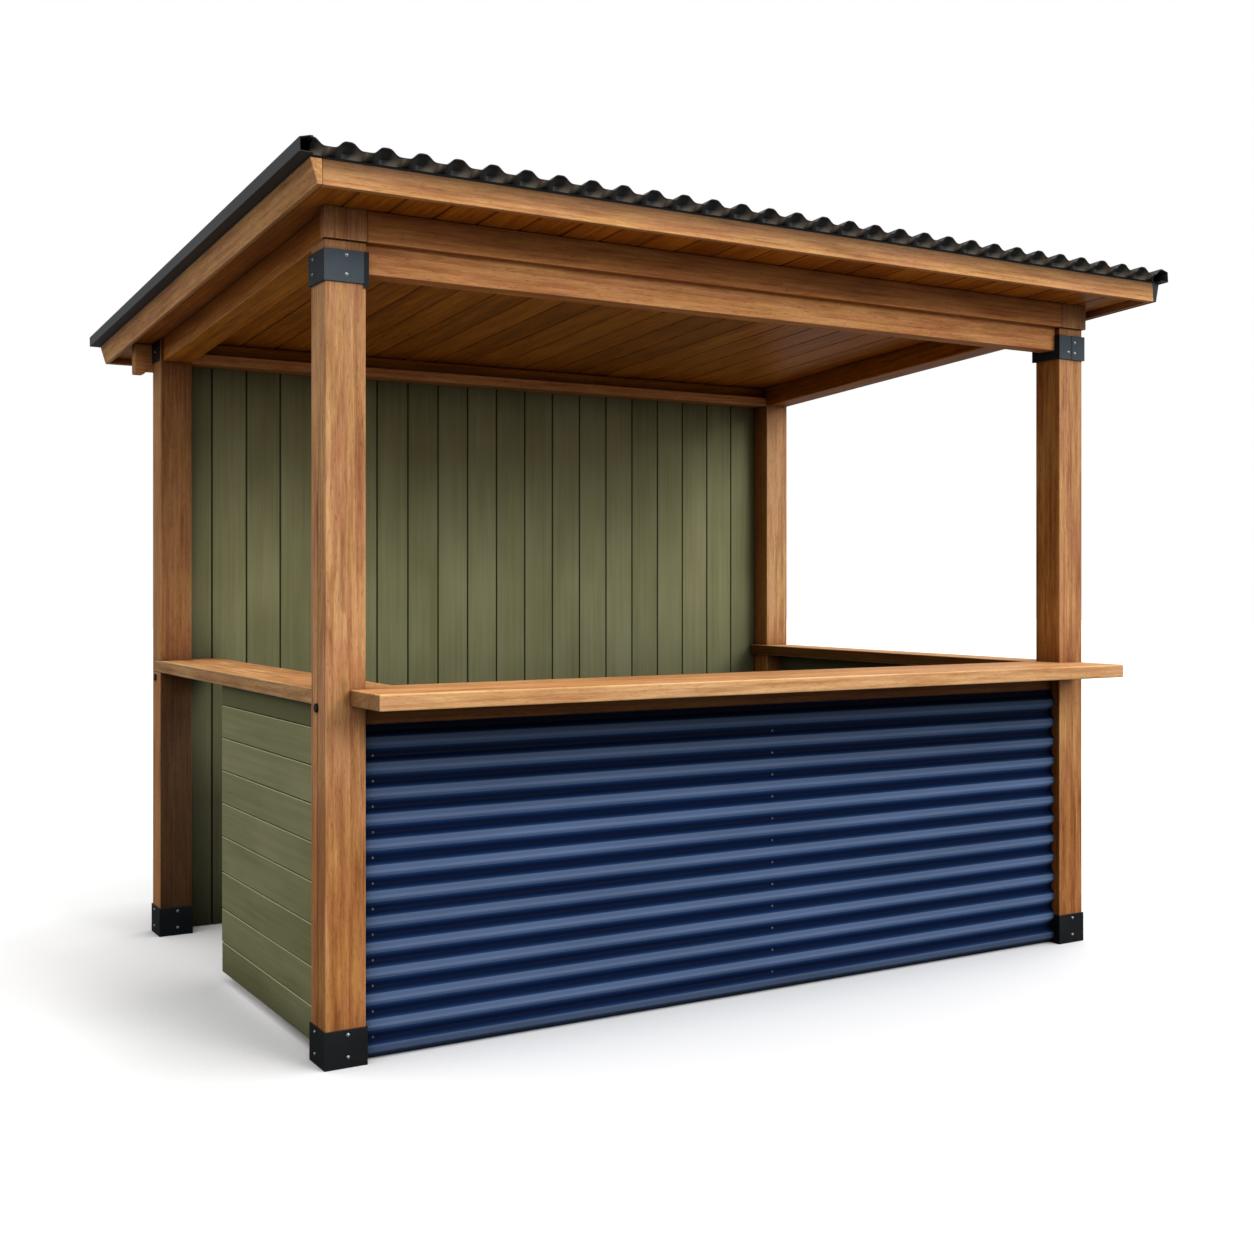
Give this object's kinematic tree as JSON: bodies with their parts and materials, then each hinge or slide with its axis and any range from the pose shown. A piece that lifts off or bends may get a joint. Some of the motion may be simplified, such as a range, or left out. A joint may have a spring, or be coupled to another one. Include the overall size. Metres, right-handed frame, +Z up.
{
  "type": "wooden market stall",
  "caption": "Open timber market stall with a mono-pitch corrugated roof, boarded ceiling, front counter with side shelves, boarded low walls and a corrugated sheet front.",
  "frame": {"origin": "on the ground under the middle of the roof's box", "axes": "+X to the right along the front counter, +Y to the boarded rear wall, +Z up"},
  "size_m": [3.328, 2.6174, 2.5247],
  "materials": {
    "frame_timber": "oiled honey brown, satin",
    "ceiling_timber": "oiled brown boards, satin",
    "counter_timber": "oiled light brown, satin",
    "olive_boards": "olive green paint, matt",
    "black_steel": "black powder coat, satin",
    "charcoal_sheet": "charcoal coating, satin",
    "navy_sheet": "navy blue coating, satin"
  },
  "bodies": {
    "root": {"post_front_left": "frame_timber", "post_front_right": "frame_timber", "post_rear_left": "frame_timber", "post_rear_right": "frame_timber", "corner_block_left": "frame_timber", "corner_block_right": "frame_timber", "front_rim_board": "frame_timber", "front_beam": "frame_timber", "side_beam_left": "frame_timber", "side_beam_right": "frame_timber", "rear_beam": "frame_timber", "rear_wall_plate": "frame_timber", "rear_header": "frame_timber", "fascia_front": "frame_timber", "fascia_rear": "frame_timber", "barge_board_left": "frame_timber", "barge_board_right": "frame_timber", "front_top_rail": "frame_timber", "front_bottom_rail": "frame_timber", "front_stud": "frame_timber", "ceiling_boards": "ceiling_timber", "roof_battens": "ceiling_timber", "counter_front": "counter_timber", "shelf_left": "counter_timber", "shelf_right": "counter_timber", "left_wall": "olive_boards", "left_wall_stud": "olive_boards", "right_wall": "olive_boards", "rear_wall": "olive_boards", "shoe_front_left": "black_steel", "shoe_front_right": "black_steel", "shoe_rear_left": "black_steel", "shoe_rear_right": "black_steel", "collar_front_left": "black_steel", "collar_front_right": "black_steel", "strap_rear_left": "black_steel", "strap_rear_right": "black_steel", "roof_sheet": "charcoal_sheet", "flashing_left": "charcoal_sheet", "flashing_right": "charcoal_sheet", "eave_strip_front": "charcoal_sheet", "eave_strip_rear": "charcoal_sheet", "front_panel": "navy_sheet"}
  },
  "joints": []
}
